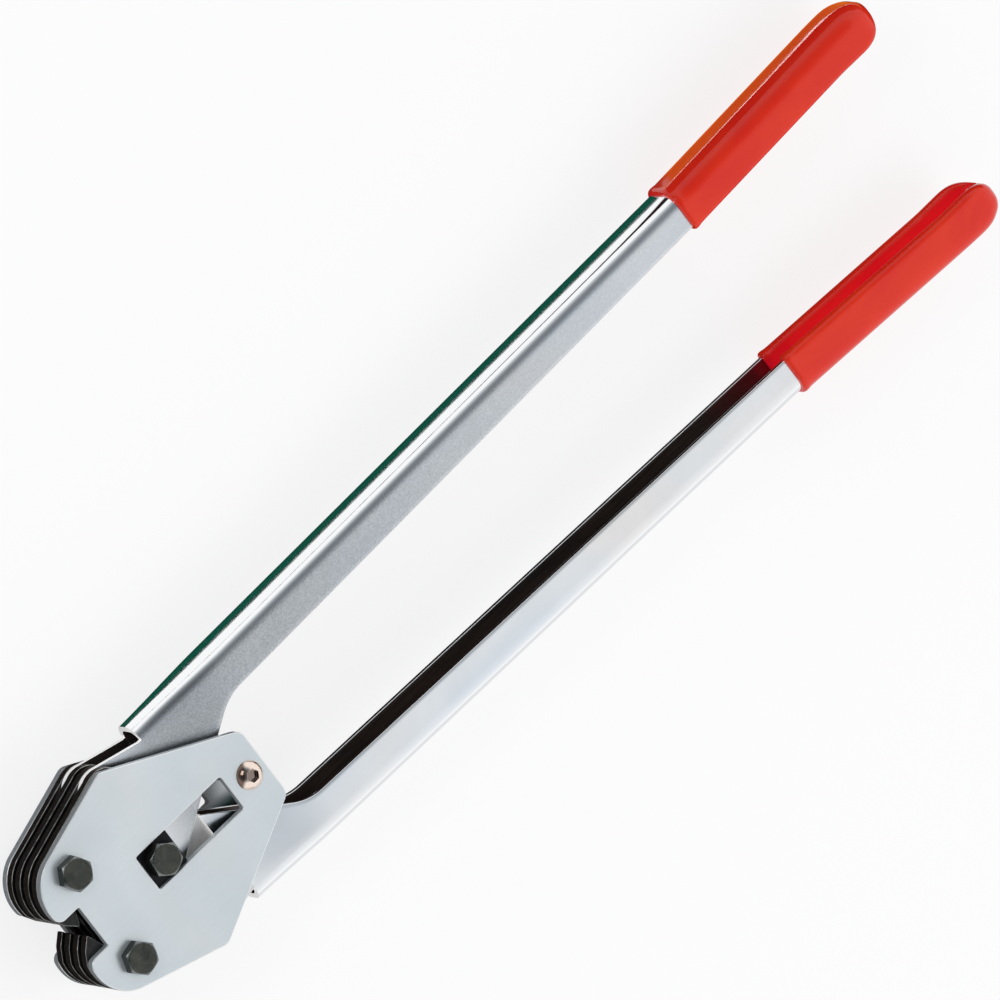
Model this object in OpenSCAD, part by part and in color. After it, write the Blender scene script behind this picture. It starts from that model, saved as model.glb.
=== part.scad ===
// Hand sealer for metal seals on plastic strapping: two channel handles close
// two laminated jaws between a pair of frame plates.
// The tool lies on its back: +X runs from the mouth to the grips, +Y to the
// upper handle and +Z to the front plate. The origin is the middle of the mouth's
// floor, on the middle plane of the stack. The jaws are shown closed.

/* [Frame] */
// Distance of each jaw pivot from the centre line
pivot_y = 22.65; // [21:0.05:24]
// Thickness of a frame plate
plate_t = 4; // [3:0.1:4.5]
// Width of the mouth in the frame plates
mouth_w = 20.5; // [18:0.5:21]
// Distance of the jaw pivots behind the floor of the mouth
pivot_x = 6.6; // [6:0.1:7.4]
// Radius of the lobes beside the mouth
lobe_r = 18.3; // [17.5:0.1:19]
// Distance of a lobe's centre from the centre line
lobe_y = 16.3; // [15.5:0.1:17]
// Width of the guide window
window_w = 17; // [16:0.1:18]
// Where the guide window starts along the tool
window_start_x = 31.6; // [30.8:0.1:32]
// Length of the guide window
window_len = 49; // [48.6:0.1:52]
// Where the tie screw behind the window stands
tie_x = 90.9; // [90.6:0.1:91.6]

/* [Jaws] */
// Thickness of one jaw leaf
leaf_t = 4.4; // [4:0.1:5]
// Free space between two leaves
leaf_gap = 3; // [2.9:0.1:3.4]
// Outer radius of the bushes the jaws turn on
bush_r = 6; // [5.5:0.1:6.5]
// Radius of the pin that joins a jaw to its handle
jaw_pin_r = 4.5; // [4:0.1:4.6]
// Boss radius of jaw and handle round that pin
pin_boss_r = 10.6; // [10.2:0.1:11.2]

/* [Handles] */
// Thickness of the handle sheet
sheet_t = 2.5; // [2:0.1:2.6]
// Outer width of the handle channel
channel_w = 22; // [20:0.5:24]
// Outer bend radius of the channel
bend_r = 6.5; // [5:0.5:6.5]
// Where the grips start along the tool
grip_start_x = 384.6; // [366.6:1:396.6]
// Where the grips end along the tool
grip_end_x = 505.2; // [501.2:1:511.2]
// Thickness of the dipped grip coating
coat_t = 1.7; // [1.2:0.1:1.9]
// Distance of the jaw pin from the centre pivot
link_y = 35; // [34.8:0.05:35.2]
// Boss radius of the handle ears round the centre pivot
centre_boss_r = 14.2; // [13.5:0.1:14.4]

/* [Fasteners] */
// Across-flats size of the M8 hex heads and nuts
hex_af = 13; // [13:0.5:14]
// Height of an M8 hex head
hex_head_h = 5.3; // [5:0.1:5.5]
// Height of an M8 nut
nut_h = 6.5; // [6:0.1:6.8]
// Shank radius of the M8 bolts
bolt_r = 4; // [3.9:0.05:4]
// Radius of the tie screw's domed head
dome_r = 6.2; // [6:0.1:6.6]
// Height of the tie screw's domed head
dome_h = 3.4; // [3:0.1:3.6]

/* [Hidden] */
$fn = 64;

side_clear = 0.1;                       // between the leaf stack and a plate
fit_clear = 0.05;                       // radial clearance of a running fit
leaf_pitch = leaf_t + leaf_gap;
inner_half = 2 * leaf_t + 1.5 * leaf_gap + side_clear;
outer_half = inner_half + plate_t;
mouth_half = mouth_w / 2;
pivot = [pivot_x, pivot_y];
lobe = [pivot_x, lobe_y];
centre_x = window_start_x + window_w / 2 + 0.5;
centre = [centre_x, 0];
jaw_pin = [centre_x, link_y];
shoulder = [40.2, 40.5];
rear_corner = [94.2, 13.6];
corner_r = 5;
cut = 1;                                // how far a cutter runs past a face

ear_z = leaf_pitch - sheet_t / 2;        // inner face of an ear
deep_ear_z = ear_z - sheet_t - side_clear;
flange_reach = 30;                      // flanges are cut from a deeper section
tip_x = grip_end_x - coat_t;
slot_clear = 0.85;                      // play of the jaw pin in a handle's slot
slot_shift = 0.5;
slot_travel = 4.7;
web_start_x = 66.6;
taper_end_x = 112.6;
web_y = 46.0;                           // outer face of the web at its start
web_slope = 0.86;                       // degrees the channel splays outwards
grip_slope = 2.7;                       // the same, along the grips
splay_x = grip_start_x - 1;             // where that slope begins
edge_y = 27.1;                          // inner flange edge where the ear ends
edge_x = 116.6;
edge_slope = 1.62;
ear_flare = 34.6;                       // angle of the ear's inner edge
joggle_start_y = 18.75;                  // lower ears step down between these
joggle_end_y = 21.3;
block_len = window_w - 0.1;
block_top_z = outer_half - 1.9;
tip_land_r = 0.6;
hook_y = 38.9;                          // lowest point of the hooked tip
tip_plan_r = 7.5;                       // corner radius of the tip, seen on the web

// ---------- outlines ----------

function polar(r, a) = r * [cos(a), sin(a)];
function unit(v) = v / norm(v);
function heading(v) = atan2(v.y, v.x);
function wrap(a) = a - 360 * round(a / 360);
function flipped(path) = [for (i = [len(path) - 1 : -1 : 0]) [path[i].x, -path[i].y]];

// Points on an arc from angle a0 to a1
function arc(c, r, a0, a1, n = 12) =
    [for (i = [0 : n]) c + polar(r, a0 + (a1 - a0) * i / n)];

// Normal angle of the line touching two circles, on the left of the way from a to b
function touch(a, ra, b, rb) = heading(b - a) + 90 - asin((ra - rb) / norm(b - a));

// Arc of radius r that rounds the corner b between a and c
function corner(a, b, c, r, n = 8) =
    let (u = unit(a - b), v = unit(c - b), h = acos(u * v) / 2)
    let (m = b + unit(u + v) * r / sin(h), t = r / tan(h))
    let (a0 = heading(b + u * t - m), a1 = heading(b + v * t - m))
    arc(m, r, a0, a0 + wrap(a1 - a0), n);

// Closed path of [x, y, radius] points with each corner rounded
function rounded(p, n = 8) = [
    for (i = [0 : len(p) - 1])
        let (a = p[(i + len(p) - 1) % len(p)], b = p[i], c = p[(i + 1) % len(p)])
        each b[2] > 0
            ? corner([a.x, a.y], [b.x, b.y], [c.x, c.y], b[2], n)
            : [[b.x, b.y]]
];

function plate_half() =
    let (nose_r = 4, nose_y = mouth_half + nose_r)
    let (back = sqrt(pow(lobe_r - nose_r, 2) - pow(lobe_y - nose_y, 2)))
    let (nose = [pivot_x - back, nose_y])
    let (a0 = heading(nose - lobe) + 360)
    let (a1 = touch(lobe, lobe_r, shoulder, corner_r))
    let (a2 = touch(shoulder, corner_r, rear_corner, corner_r))
    concat(
        [[0, mouth_half]],
        arc(nose, nose_r, 270, a0, 8),
        arc(lobe, lobe_r, a0, a1, 28),
        arc(shoulder, corner_r, a1, a2, 10),
        arc(rear_corner, corner_r, a2, 0, 14)
    );

// Leaf of the upper jaw: a pointed hook under the mouth, a lobe round the pivot
// and a boss round the jaw pin
function leaf_path() =
    let (tip = [pivot_x - 9.8, 2.3], chin = [pivot_x - 14.6, 6.9], root = [pivot_x - 6.2, 11.5])
    let (hub_r = 11.5, boss = jaw_pin + [0, 1], boss_r = pin_boss_r - 1)
    let (a0 = 193, a1 = touch(lobe, lobe_r - 0.1, boss, boss_r))
    concat(
        corner(root, tip, chin, tip_land_r, 5),
        corner(tip, chin, lobe + polar(lobe_r - 0.1, a0), 6, 5),
        arc(lobe, lobe_r - 0.1, a0, a1, 26),
        arc(boss, boss_r, a1, -118, 40),
        arc(pivot, hub_r, -52, -118, 14),
        [root]
    );

function anvil_path() =
    let (boss_r = 10, half = arc(pivot, boss_r, 228.7, 0, 40))
    concat([[0, 12]], half, flipped(half), [[0, -12]]);

function web_line(x) = web_y + (x - web_start_x) * tan(web_slope)
    + max(0, x - splay_x) * (tan(grip_slope) - tan(web_slope));
function edge_line(x) = edge_y + (x - edge_x) * tan(edge_slope)
    + max(0, x - splay_x) * (tan(grip_slope) - tan(edge_slope));

// Side view of the far end of a handle, grown outwards by g: along the flange
// edge, round the hook and the nose, and back along the web from brow_x
function tip_path(g) =
    let (start_x = tip_x - 56, lip_x = tip_x - 27, hook = [tip_x - 5.8 + g / 3, hook_y - g])
    let (nose = [tip_x + g, hook_y + 9.6], brow = [tip_x - 11.5, web_line(tip_x - 11.5) + g])
    let (lip = [lip_x, edge_line(lip_x) - g])
    concat(
        corner([start_x, edge_line(start_x) - g], lip, hook, 40, 6),
        corner(lip, hook, nose, 5 + g, 8),
        corner(hook, nose, brow, 7 + g, 9),
        corner(nose, brow, [start_x, web_line(start_x) + g], 21 + g, 10)
    );

// Side view of the upper handle's ear, up to where the channel starts
function ear_path() =
    let (a0 = touch(centre, centre_boss_r, jaw_pin, pin_boss_r))
    let (shoe = [web_start_x - 1.5, web_y - bend_r + 0.4])
    let (a1 = heading(shoe - jaw_pin) + acos(pin_boss_r / norm(shoe - jaw_pin)))
    let (heel = centre + polar(centre_boss_r, ear_flare - 90), end_x = web_start_x + 0.3)
    concat(
        arc(jaw_pin, pin_boss_r, a0, a1, 16),
        [shoe, [end_x, shoe.y], [end_x, heel.y + (end_x - heel.x) * tan(ear_flare)]],
        arc(centre, centre_boss_r, ear_flare - 90, a0 - 360, 30)
    );

// Outline that trims the channel's flanges, grown outwards by g; it runs clear
// of the web
function trim_path(g, start_x) =
    let (heel = centre + polar(centre_boss_r, ear_flare - 90), tip = tip_path(g))
    let (bend_x = heel.x + (edge_line(taper_end_x) - heel.y) / tan(ear_flare) + 2)
    let (bend = [bend_x, heel.y + (bend_x - heel.x) * tan(ear_flare)])
    concat(
        start_x < bend_x
            ? concat([heel], corner(heel, bend, [166, edge_line(166)], 24))
            : [[start_x, edge_line(start_x) - g]],
        start_x < bend_x ? [[splay_x, edge_line(splay_x)]] : [],
        tip,
        [tip[len(tip) - 1] + [0, 30], [start_x, 80]]
    );

// ---------- shared solids ----------

// Solid that rounds the far end of a handle as seen from its back, grown by g
module tip_plan(g) {
    r = tip_plan_r;
    c = [tip_x - r, channel_w / 2 - r];
    translate([0, 80, 0]) rotate([90, 0, 0]) linear_extrude(80) polygon(concat(
        [[0, -2 * cut], [0, channel_w]],
        [c + polar(r + g, 100) + [0, 0.4 * r]],
        arc(c, r + g + 0.05, 84, 0, 8),
        [[tip_x + g + 0.05, -2 * cut]]
    ));
}

module slab(z0, z1) {
    translate([0, 0, z0]) linear_extrude(z1 - z0) children();
}

module rod(at, r, z0, z1) {
    translate([at.x, at.y, z0]) cylinder(r = r, h = z1 - z0);
}

module tube(at, r_out, r_in, z0, z1) {
    difference() {
        rod(at, r_out, z0, z1);
        rod(at, r_in, z0 - cut, z1 + cut);
    }
}

module both_sides() {
    children();
    mirror([0, 1, 0]) children();
}

module both_faces() {
    children();
    mirror([0, 0, 1]) children();
}

// Hexagon prism with the corners of its outer end turned off
module hex_prism(h, turn = 0) {
    r = hex_af / 2 / cos(30);
    intersection() {
        rotate(turn) cylinder(r = r, h = h, $fn = 6);
        rotate_extrude($fn = 48)
            polygon([[0, 0], [r + cut, 0], [r + cut, h - 1.6], [hex_af / 2 - 0.5, h], [0, h]]);
    }
}

// Hex bolt standing on the face at head_z, its shank running down to end_z
module hex_bolt(at, head_z, end_z, turn = 0) {
    translate([at.x, at.y, head_z]) hex_prism(hex_head_h, turn);
    rod(at, bolt_r, end_z, head_z + cut);
}

// Hex nut whose seat is at z and which reaches down by h
module hex_nut(at, z, h, turn = 0) {
    difference() {
        translate([at.x, at.y, z]) mirror([0, 0, 1]) hex_prism(h, turn);
        rod(at, bolt_r, z - h - cut, z + cut);
    }
}

// ---------- frame ----------

module frame_plate(z0) {
    upper = plate_half();
    difference() {
        slab(z0, z0 + plate_t) polygon(concat(upper, flipped(upper)));
        slab(z0 - cut, z0 + plate_t + cut)
            polygon(rounded([
                [window_start_x, -window_w / 2, 0.8],
                [window_start_x + window_len, -window_w / 2, 1.2],
                [window_start_x + window_len, window_w / 2, 1.2],
                [window_start_x, window_w / 2, 0.8]
            ], 4));
        both_sides() rod(pivot, bolt_r + fit_clear, z0 - cut, z0 + plate_t + cut);
        rod([tie_x, 0], 3 + fit_clear, z0 - cut, z0 + plate_t + cut);
    }
}

module front_plate() { color("#d2d9de") frame_plate(inner_half); }
module rear_plate() { color("#c9d1d6") frame_plate(-outer_half); }

module jaw_pivot_bolts() {
    color("#3f3e3b") {
        hex_bolt(pivot, outer_half, -outer_half - nut_h + 0.3, 0);
        hex_bolt([pivot_x, -pivot_y], outer_half, -outer_half - nut_h + 0.3, 12.6);
    }
}

module jaw_pivot_nuts() {
    color("#454441") both_sides() hex_nut(pivot, -outer_half, nut_h, 8);
}

module jaw_pivot_bushes() {
    color("#8a8d90") both_sides()
        tube(pivot, bush_r, bolt_r + fit_clear, -inner_half, inner_half);
}

// Three anvils carry the strap on their front edges and space the leaves
module anvil_plates() {
    color("#4a4a4c") for (level = [-1, 0, 1]) {
        z = level * leaf_pitch;
        difference() {
            slab(z - leaf_gap / 2 + side_clear, z + leaf_gap / 2 - side_clear)
                polygon(anvil_path());
            both_sides() rod(pivot, bush_r, z - leaf_gap, z + leaf_gap);
        }
    }
}

module tie_screw() {
    socket_r = 5 / 2 / cos(30);
    ball_r = (dome_r * dome_r + dome_h * dome_h) / (2 * dome_h);
    color("#d9cdb9") translate([tie_x, 0, outer_half]) {
        difference() {
            intersection() {
                cylinder(r = dome_r, h = dome_h);
                translate([0, 0, dome_h - ball_r]) sphere(r = ball_r);
            }
            translate([0, 0, 0.9]) cylinder(r = socket_r, h = dome_h, $fn = 6);
        }
        rod([0, 0], 3, -2 * outer_half - 4.8, 0.5);
    }
}

module tie_spacer() {
    color("#b9bec2") tube([tie_x, 0], 4, 3 + fit_clear, -inner_half, inner_half);
}

module tie_nut() {
    color("#b9bec2") difference() {
        translate([tie_x, 0, -outer_half]) mirror([0, 0, 1])
            cylinder(r = 5 / cos(30), h = 5, $fn = 6);
        rod([tie_x, 0], 3, -outer_half - 5 - cut, -outer_half + cut);
    }
}

// ---------- jaws ----------

// Leaf 1 lies at the rear plate and leaf 4 at the front plate
module jaw_leaf(place) {
    z = (place - 2.5) * leaf_pitch;
    color("#2f2d2c") difference() {
        slab(z - leaf_t / 2, z + leaf_t / 2) polygon(leaf_path());
        rod(pivot, bush_r + fit_clear, z - leaf_t, z + leaf_t);
        rod(jaw_pin, jaw_pin_r, z - leaf_t, z + leaf_t);
    }
}

module jaw_pin_solid() {
    color("#8f9396") rod(jaw_pin, jaw_pin_r, -inner_half + side_clear, inner_half - side_clear);
}

module lower() { mirror([0, 1, 0]) children(); }

module upper_jaw_leaf_1() { jaw_leaf(1); }
module upper_jaw_leaf_2() { jaw_leaf(2); }
module upper_jaw_leaf_3() { jaw_leaf(3); }
module upper_jaw_leaf_4() { jaw_leaf(4); }
module upper_jaw_pin() { jaw_pin_solid(); }
module lower_jaw_leaf_1() { lower() jaw_leaf(1); }
module lower_jaw_leaf_2() { lower() jaw_leaf(2); }
module lower_jaw_leaf_3() { lower() jaw_leaf(3); }
module lower_jaw_leaf_4() { lower() jaw_leaf(4); }
module lower_jaw_pin() { lower() jaw_pin_solid(); }

// ---------- centre pivot ----------

bush_half = ear_z + sheet_t + side_clear;

module centre_bolt() {
    color("#33363a") hex_bolt(centre, block_top_z, -block_top_z - nut_h + 0.3, 24);
}

module centre_nut() {
    color("#454441") hex_nut(centre, -block_top_z, nut_h, 10);
}

module centre_bush() {
    color("#8a8d90") tube(centre, bush_r, bolt_r + fit_clear, -bush_half, bush_half);
}

module centre_spacer() {
    half = deep_ear_z - side_clear;
    color("#8a8d90") tube(centre, 8, bush_r, -half, half);
}

module guide_block() {
    half_x = block_len / 2;
    color("#26282a") difference() {
        slab(bush_half, block_top_z)
            polygon(rounded([
                [centre_x - half_x, -half_x, 0.8], [centre_x + half_x, -half_x, 0.8],
                [centre_x + half_x, half_x, 0.8], [centre_x - half_x, half_x, 0.8]
            ], 3));
        rod(centre, bolt_r + fit_clear, 0, outer_half);
    }
}

module front_guide_block() { guide_block(); }
module rear_guide_block() { mirror([0, 0, 1]) guide_block(); }

// ---------- handles ----------

// Half a channel's section, half_w wide and grown by g on every face: the web
// lies along x at y = 0 and the flange runs up in y
module corner_section(half_w, g = 0, filled = false) {
    outer_r = bend_r + g;
    inner_r = max(bend_r - sheet_t - g, 0.2);
    inner_c = [half_w - sheet_t - g - inner_r, sheet_t + g + inner_r];
    polygon(concat(
        [[-9, -g]],
        arc([half_w - bend_r, bend_r], outer_r, -90, 0, 8),
        [[half_w + g, flange_reach]],
        filled ? [[-9, flange_reach]] : concat(
            [[half_w - sheet_t - g, flange_reach]],
            arc(inner_c, inner_r, 0, -90, 6),
            [[-9, sheet_t + g]]
        )
    ));
}

// Straight stretch of the front half of a channel; its ends a and b are
// [place along the tool, outer face of the web, half width]
module half_channel(a, b, g = 0, filled = false) {
    run = b.x - a.x;
    overlap = 0.2;
    intersection() {
        translate([a.x, a.y, 0])
            rotate([0, -atan2(b.z - a.z, run), atan2(b.y - a.y, run)])
            multmatrix([[0, 0, 1, 0], [0, -1, 0, 0], [1, 0, 0, 0], [0, 0, 0, 1]])
            translate([0, 0, -3]) linear_extrude(run + 6) corner_section(a.z, g, filled);
        translate([a.x - overlap, 0, 0]) cube([run + 2 * overlap, 80, 20]);
    }
}

// Strip that a lower ear follows as it steps down towards the centre pivot
module joggled_sheet() {
    path = [[-30, deep_ear_z], [joggle_start_y, deep_ear_z],
        [joggle_end_y, ear_z], [70, ear_z]];
    rotate([90, 0, 90]) linear_extrude(web_start_x) polygon(concat(
        [for (p = path) [p.x, p.y + sheet_t]],
        [for (i = [3 : -1 : 0]) path[i]]
    ));
}

module ear(joggled) {
    intersection() {
        slab(0, 20) polygon(ear_path());
        if (joggled) joggled_sheet();
        else translate([0, -30, ear_z]) cube([2 * web_start_x, 100, sheet_t]);
    }
}

// Front half of a handle's channel along the grip
module grip_channel(g = 0, filled = false) {
    half_channel(
        [splay_x, web_line(splay_x), channel_w / 2 + 0.01],
        [tip_x + 10, web_line(tip_x + 10), channel_w / 2 + 0.01], g, filled);
}

// Front half of a handle's channel, from the ear to the tip
module channel_front() {
    start = [web_start_x, web_y, ear_z + sheet_t];
    full = [taper_end_x, web_line(taper_end_x), channel_w / 2];
    half_channel(start, full);
    half_channel(full, [splay_x, web_line(splay_x), channel_w / 2]);
    grip_channel();
}

module handle(joggled) {
    slot_r = jaw_pin_r + slot_clear;
    difference() {
        both_faces() {
            ear(joggled);
            intersection() {
                channel_front();
                slab(-cut, 20) polygon(trim_path(0, web_start_x - 5));
                tip_plan(0);
            }
        }
        rod(centre, bush_r + fit_clear, -20, 20);
        translate([jaw_pin.x + slot_shift, 0, 0]) {
            rod([0, link_y], slot_r, -20, 20);
            rod([0, link_y - slot_travel], slot_r, -20, 20);
            translate([-slot_r, link_y - slot_travel, -20]) cube([2 * slot_r, slot_travel, 40]);
        }
    }
}

// Coating of a handle: it covers both faces of the sheet and closes the far end
module grip() {
    outer = tip_path(coat_t);
    inner = tip_path(-sheet_t);
    first = 8;
    wall = concat(
        [for (i = [first : len(outer) - 4]) outer[i]],
        [for (i = [len(inner) - 4 : -1 : first]) inner[i]]
    );
    difference() {
        both_faces() intersection() {
            union() {
                intersection() {
                    grip_channel(coat_t);
                    slab(-cut, 20) polygon(trim_path(coat_t, grip_start_x));
                }
                intersection() {
                    grip_channel(coat_t, true);
                    slab(-cut, channel_w / 2 - sheet_t - coat_t + 1) polygon(wall);
                }
            }
            tip_plan(coat_t);
        }
        both_faces() intersection() {
            grip_channel();
            slab(-cut, 20) polygon(trim_path(0, splay_x));
            tip_plan(0);
        }
    }
}

module upper_handle() { color("#cfd5da") handle(false); }
module lower_handle() { color("#cfd5da") lower() handle(true); }
module upper_grip() { color("#d8232a") grip(); }
module lower_grip() { color("#d8232a") lower() grip(); }

front_plate();
rear_plate();
jaw_pivot_bolts();
jaw_pivot_nuts();
jaw_pivot_bushes();
anvil_plates();
tie_screw();
tie_spacer();
tie_nut();
upper_jaw_leaf_1();
upper_jaw_leaf_2();
upper_jaw_leaf_3();
upper_jaw_leaf_4();
upper_jaw_pin();
lower_jaw_leaf_1();
lower_jaw_leaf_2();
lower_jaw_leaf_3();
lower_jaw_leaf_4();
lower_jaw_pin();
centre_bolt();
centre_nut();
centre_bush();
centre_spacer();
front_guide_block();
rear_guide_block();
upper_handle();
upper_grip();
lower_handle();
lower_grip();
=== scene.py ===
import math

import bmesh
import bpy
from mathutils import Matrix, Vector


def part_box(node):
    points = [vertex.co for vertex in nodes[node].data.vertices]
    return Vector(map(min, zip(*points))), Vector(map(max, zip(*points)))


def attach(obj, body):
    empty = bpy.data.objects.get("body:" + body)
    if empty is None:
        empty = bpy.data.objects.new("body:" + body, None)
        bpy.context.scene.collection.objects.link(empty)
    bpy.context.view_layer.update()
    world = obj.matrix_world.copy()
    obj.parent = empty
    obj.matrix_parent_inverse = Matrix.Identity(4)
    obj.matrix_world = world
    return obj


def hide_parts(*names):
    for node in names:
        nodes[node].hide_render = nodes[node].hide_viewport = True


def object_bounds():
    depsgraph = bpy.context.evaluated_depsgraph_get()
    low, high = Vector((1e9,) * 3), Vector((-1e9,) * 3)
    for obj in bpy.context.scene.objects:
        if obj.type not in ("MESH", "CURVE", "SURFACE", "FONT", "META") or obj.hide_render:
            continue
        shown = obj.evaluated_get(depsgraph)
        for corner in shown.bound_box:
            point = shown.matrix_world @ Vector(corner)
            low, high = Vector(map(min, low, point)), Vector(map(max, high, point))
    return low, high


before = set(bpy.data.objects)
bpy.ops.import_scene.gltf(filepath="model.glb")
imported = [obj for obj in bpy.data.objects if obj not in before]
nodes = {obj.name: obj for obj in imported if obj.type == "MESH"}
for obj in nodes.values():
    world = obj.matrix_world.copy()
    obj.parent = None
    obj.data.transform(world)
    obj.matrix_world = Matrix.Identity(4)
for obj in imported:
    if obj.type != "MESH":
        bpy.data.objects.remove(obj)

cad_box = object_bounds()
MM = 0.001


# ---------- node helpers ----------

class Tree:
    """A node tree with short calls for the nodes used here."""

    def __init__(self, tree):
        self.tree = tree
        self.tree.nodes.clear()

    def add(self, kind, inputs=None, **props):
        """New node with its settings made and its inputs linked or filled in."""
        node = self.tree.nodes.new(kind)
        for key, value in props.items():
            setattr(node, key, value)
        for key, value in (inputs or {}).items():
            self.put(node.inputs[key], value)
        return node

    def put(self, socket, value):
        """Links the socket to another one or fills in its value."""
        if isinstance(value, bpy.types.NodeSocket):
            self.tree.links.new(value, socket)
        elif isinstance(value, (tuple, list)) and len(value) == 3 and socket.type == "RGBA":
            socket.default_value = (*value, 1.0)
        else:
            socket.default_value = value

    def coords(self, scale=(1, 1, 1)):
        """Object coordinates in metres, scaled."""
        place = self.add("ShaderNodeTexCoord").outputs["Object"]
        return self.add("ShaderNodeMapping", {"Vector": place, "Scale": scale}).outputs[0]

    def parts(self, vector):
        """The x, y and z of a vector."""
        node = self.add("ShaderNodeSeparateXYZ", {"Vector": vector})
        return node.outputs[0], node.outputs[1], node.outputs[2]

    def position(self):
        """The x, y and z of the place on the object, in metres."""
        return self.parts(self.add("ShaderNodeTexCoord").outputs["Object"])

    def normal(self):
        """The x, y and z of the surface direction."""
        return self.parts(self.add("ShaderNodeNewGeometry").outputs["Normal"])

    def noise(self, vector, scale, detail=4.0, rough=0.55, distort=0.0):
        node = self.add("ShaderNodeTexNoise", {"Vector": vector, "Scale": scale, "Detail": detail,
                                               "Roughness": rough, "Distortion": distort})
        return node.outputs["Fac"]

    def cells(self, scale):
        node = self.add("ShaderNodeTexVoronoi", {"Vector": self.coords(), "Scale": scale})
        return node.outputs["Distance"]

    def ramp(self, fac, stops):
        node = self.add("ShaderNodeValToRGB", {"Fac": fac})
        elements = node.color_ramp.elements
        while len(elements) < len(stops):
            elements.new(0.5)
        for element, (position, color) in zip(elements, stops):
            element.position = position
            element.color = (*color, 1.0)
        return node.outputs["Color"]

    def math(self, operation, a, b=0.0, clamp=False):
        return self.add("ShaderNodeMath", {0: a, 1: b}, operation=operation, use_clamp=clamp).outputs[0]

    def times(self, a, b, clamp=False):
        return self.math("MULTIPLY", a, b, clamp)

    def plus(self, a, b):
        return self.math("ADD", a, b)

    def minus(self, a, b):
        return self.math("SUBTRACT", a, b)

    def mix(self, fac, a, b):
        """Color a where fac is 0, b where it is 1."""
        return self.add("ShaderNodeMix", {0: fac, 6: a, 7: b}, data_type="RGBA").outputs[2]

    def span(self, value, from_low, from_high, low=0.0, high=1.0):
        """Maps a stretch of values onto another one, held at its ends."""
        node = self.add("ShaderNodeMapRange", {"Value": value, "From Min": from_low, "From Max": from_high,
                                               "To Min": low, "To Max": high})
        return node.outputs[0]

    def bump(self, height, strength, distance, normal=None):
        inputs = {"Height": height, "Strength": strength, "Distance": distance}
        if normal is not None:
            inputs["Normal"] = normal
        return self.add("ShaderNodeBump", inputs).outputs[0]

    def rim(self, low, high=0.93):
        """1 on the eased edges of parts that lie flat across z, 0 on their faces and sides."""
        nz = self.math("ABSOLUTE", self.normal()[2])
        return self.times(self.span(nz, low - 0.12, low + 0.02), self.span(nz, high + 0.07, high))

    def gap(self, reach, low, high):
        """0 deep in a narrow gap, 1 in the open."""
        node = self.add("ShaderNodeAmbientOcclusion", {"Distance": reach}, samples=12)
        return self.span(node.outputs["AO"], low, high)

    def output(self, kind, shader):
        self.tree.links.new(shader, self.add(kind).inputs[0])

    def finish(self, **inputs):
        """Closes a material with a principled surface."""
        surface = self.add("ShaderNodeBsdfPrincipled", {k.replace("_", " "): v for k, v in inputs.items()})
        self.output("ShaderNodeOutputMaterial", surface.outputs[0])


def material(name):
    """New material and its empty tree."""
    m = bpy.data.materials.new(name)
    m.use_nodes = True
    return m, Tree(m.node_tree)


# ---------- materials ----------

# painted shade: the black laid into narrow gaps, and how far a gap reaches
PAINTED_SHADE_BLACK = (0.006, 0.006, 0.007)
PAINTED_SHADE_REACH = 4 * MM
FINE = 0.2 * MM                      # depth of grain and specks


def zinc_plate(name, window_shade):
    """Zinc plating on rolled sheet, cloudy and slightly iridescent. Its inward face is painted shade: black
    or, if the window shade is asked for, going from black through a dark green painted reflection to clean
    plating across the part that shows in the window."""
    m, t = material(name)
    grain = t.noise(t.coords((20, 300, 300)), 2.5, 3, 0.5)
    cloud = t.noise(t.coords(), 26.0, 4, 0.6, 0.4)
    tint = t.noise(t.coords(), 9.0, 2, 0.5, 1.2)
    base = t.ramp(tint, [(0.30, (0.70, 0.77, 0.81)), (0.5, (0.75, 0.81, 0.84)), (0.72, (0.82, 0.82, 0.82))])
    base = t.mix(t.span(cloud, 0.3, 0.7, 0.0, 0.28), base, (0.60, 0.66, 0.70))
    # painted highlight: the eased edges are made white, as if they caught the light
    base = t.mix(t.rim(0.35), base, (1.0, 1.0, 1.0))
    nz = t.normal()[2]
    if window_shade:
        # painted shade and reflection: the inward face seen in the window goes from black through dark green
        # to clean plating
        x, y = t.position()[:2]
        across = t.span(y, -22 * MM, -6 * MM)
        painted_shade_band = t.ramp(across, [(0.0, (0.004, 0.004, 0.004)), (0.36, (0.020, 0.012, 0.010)),
                               (0.50, (0.010, 0.045, 0.034)), (0.62, (0.20, 0.25, 0.26)),
                               (0.85, (0.75, 0.79, 0.82))])
        inward_shade = t.times(t.span(nz, 0.3, 0.8), t.span(x, 20 * MM, 30 * MM))
        base = t.mix(inward_shade, base, painted_shade_band)
    else:
        # painted shade: the face turned down, under the plate, is made black
        base = t.mix(t.span(nz, -0.3, -0.8), base, (0.012, 0.012, 0.012))
    base = t.mix(t.span(grain, 0.3, 0.7, 0.0, 0.05), base, (0.50, 0.53, 0.56))
    t.finish(Base_Color=base, Metallic=0.62, Roughness=t.span(cloud, 0.3, 0.7, 0.26, 0.36))
    return m


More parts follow.
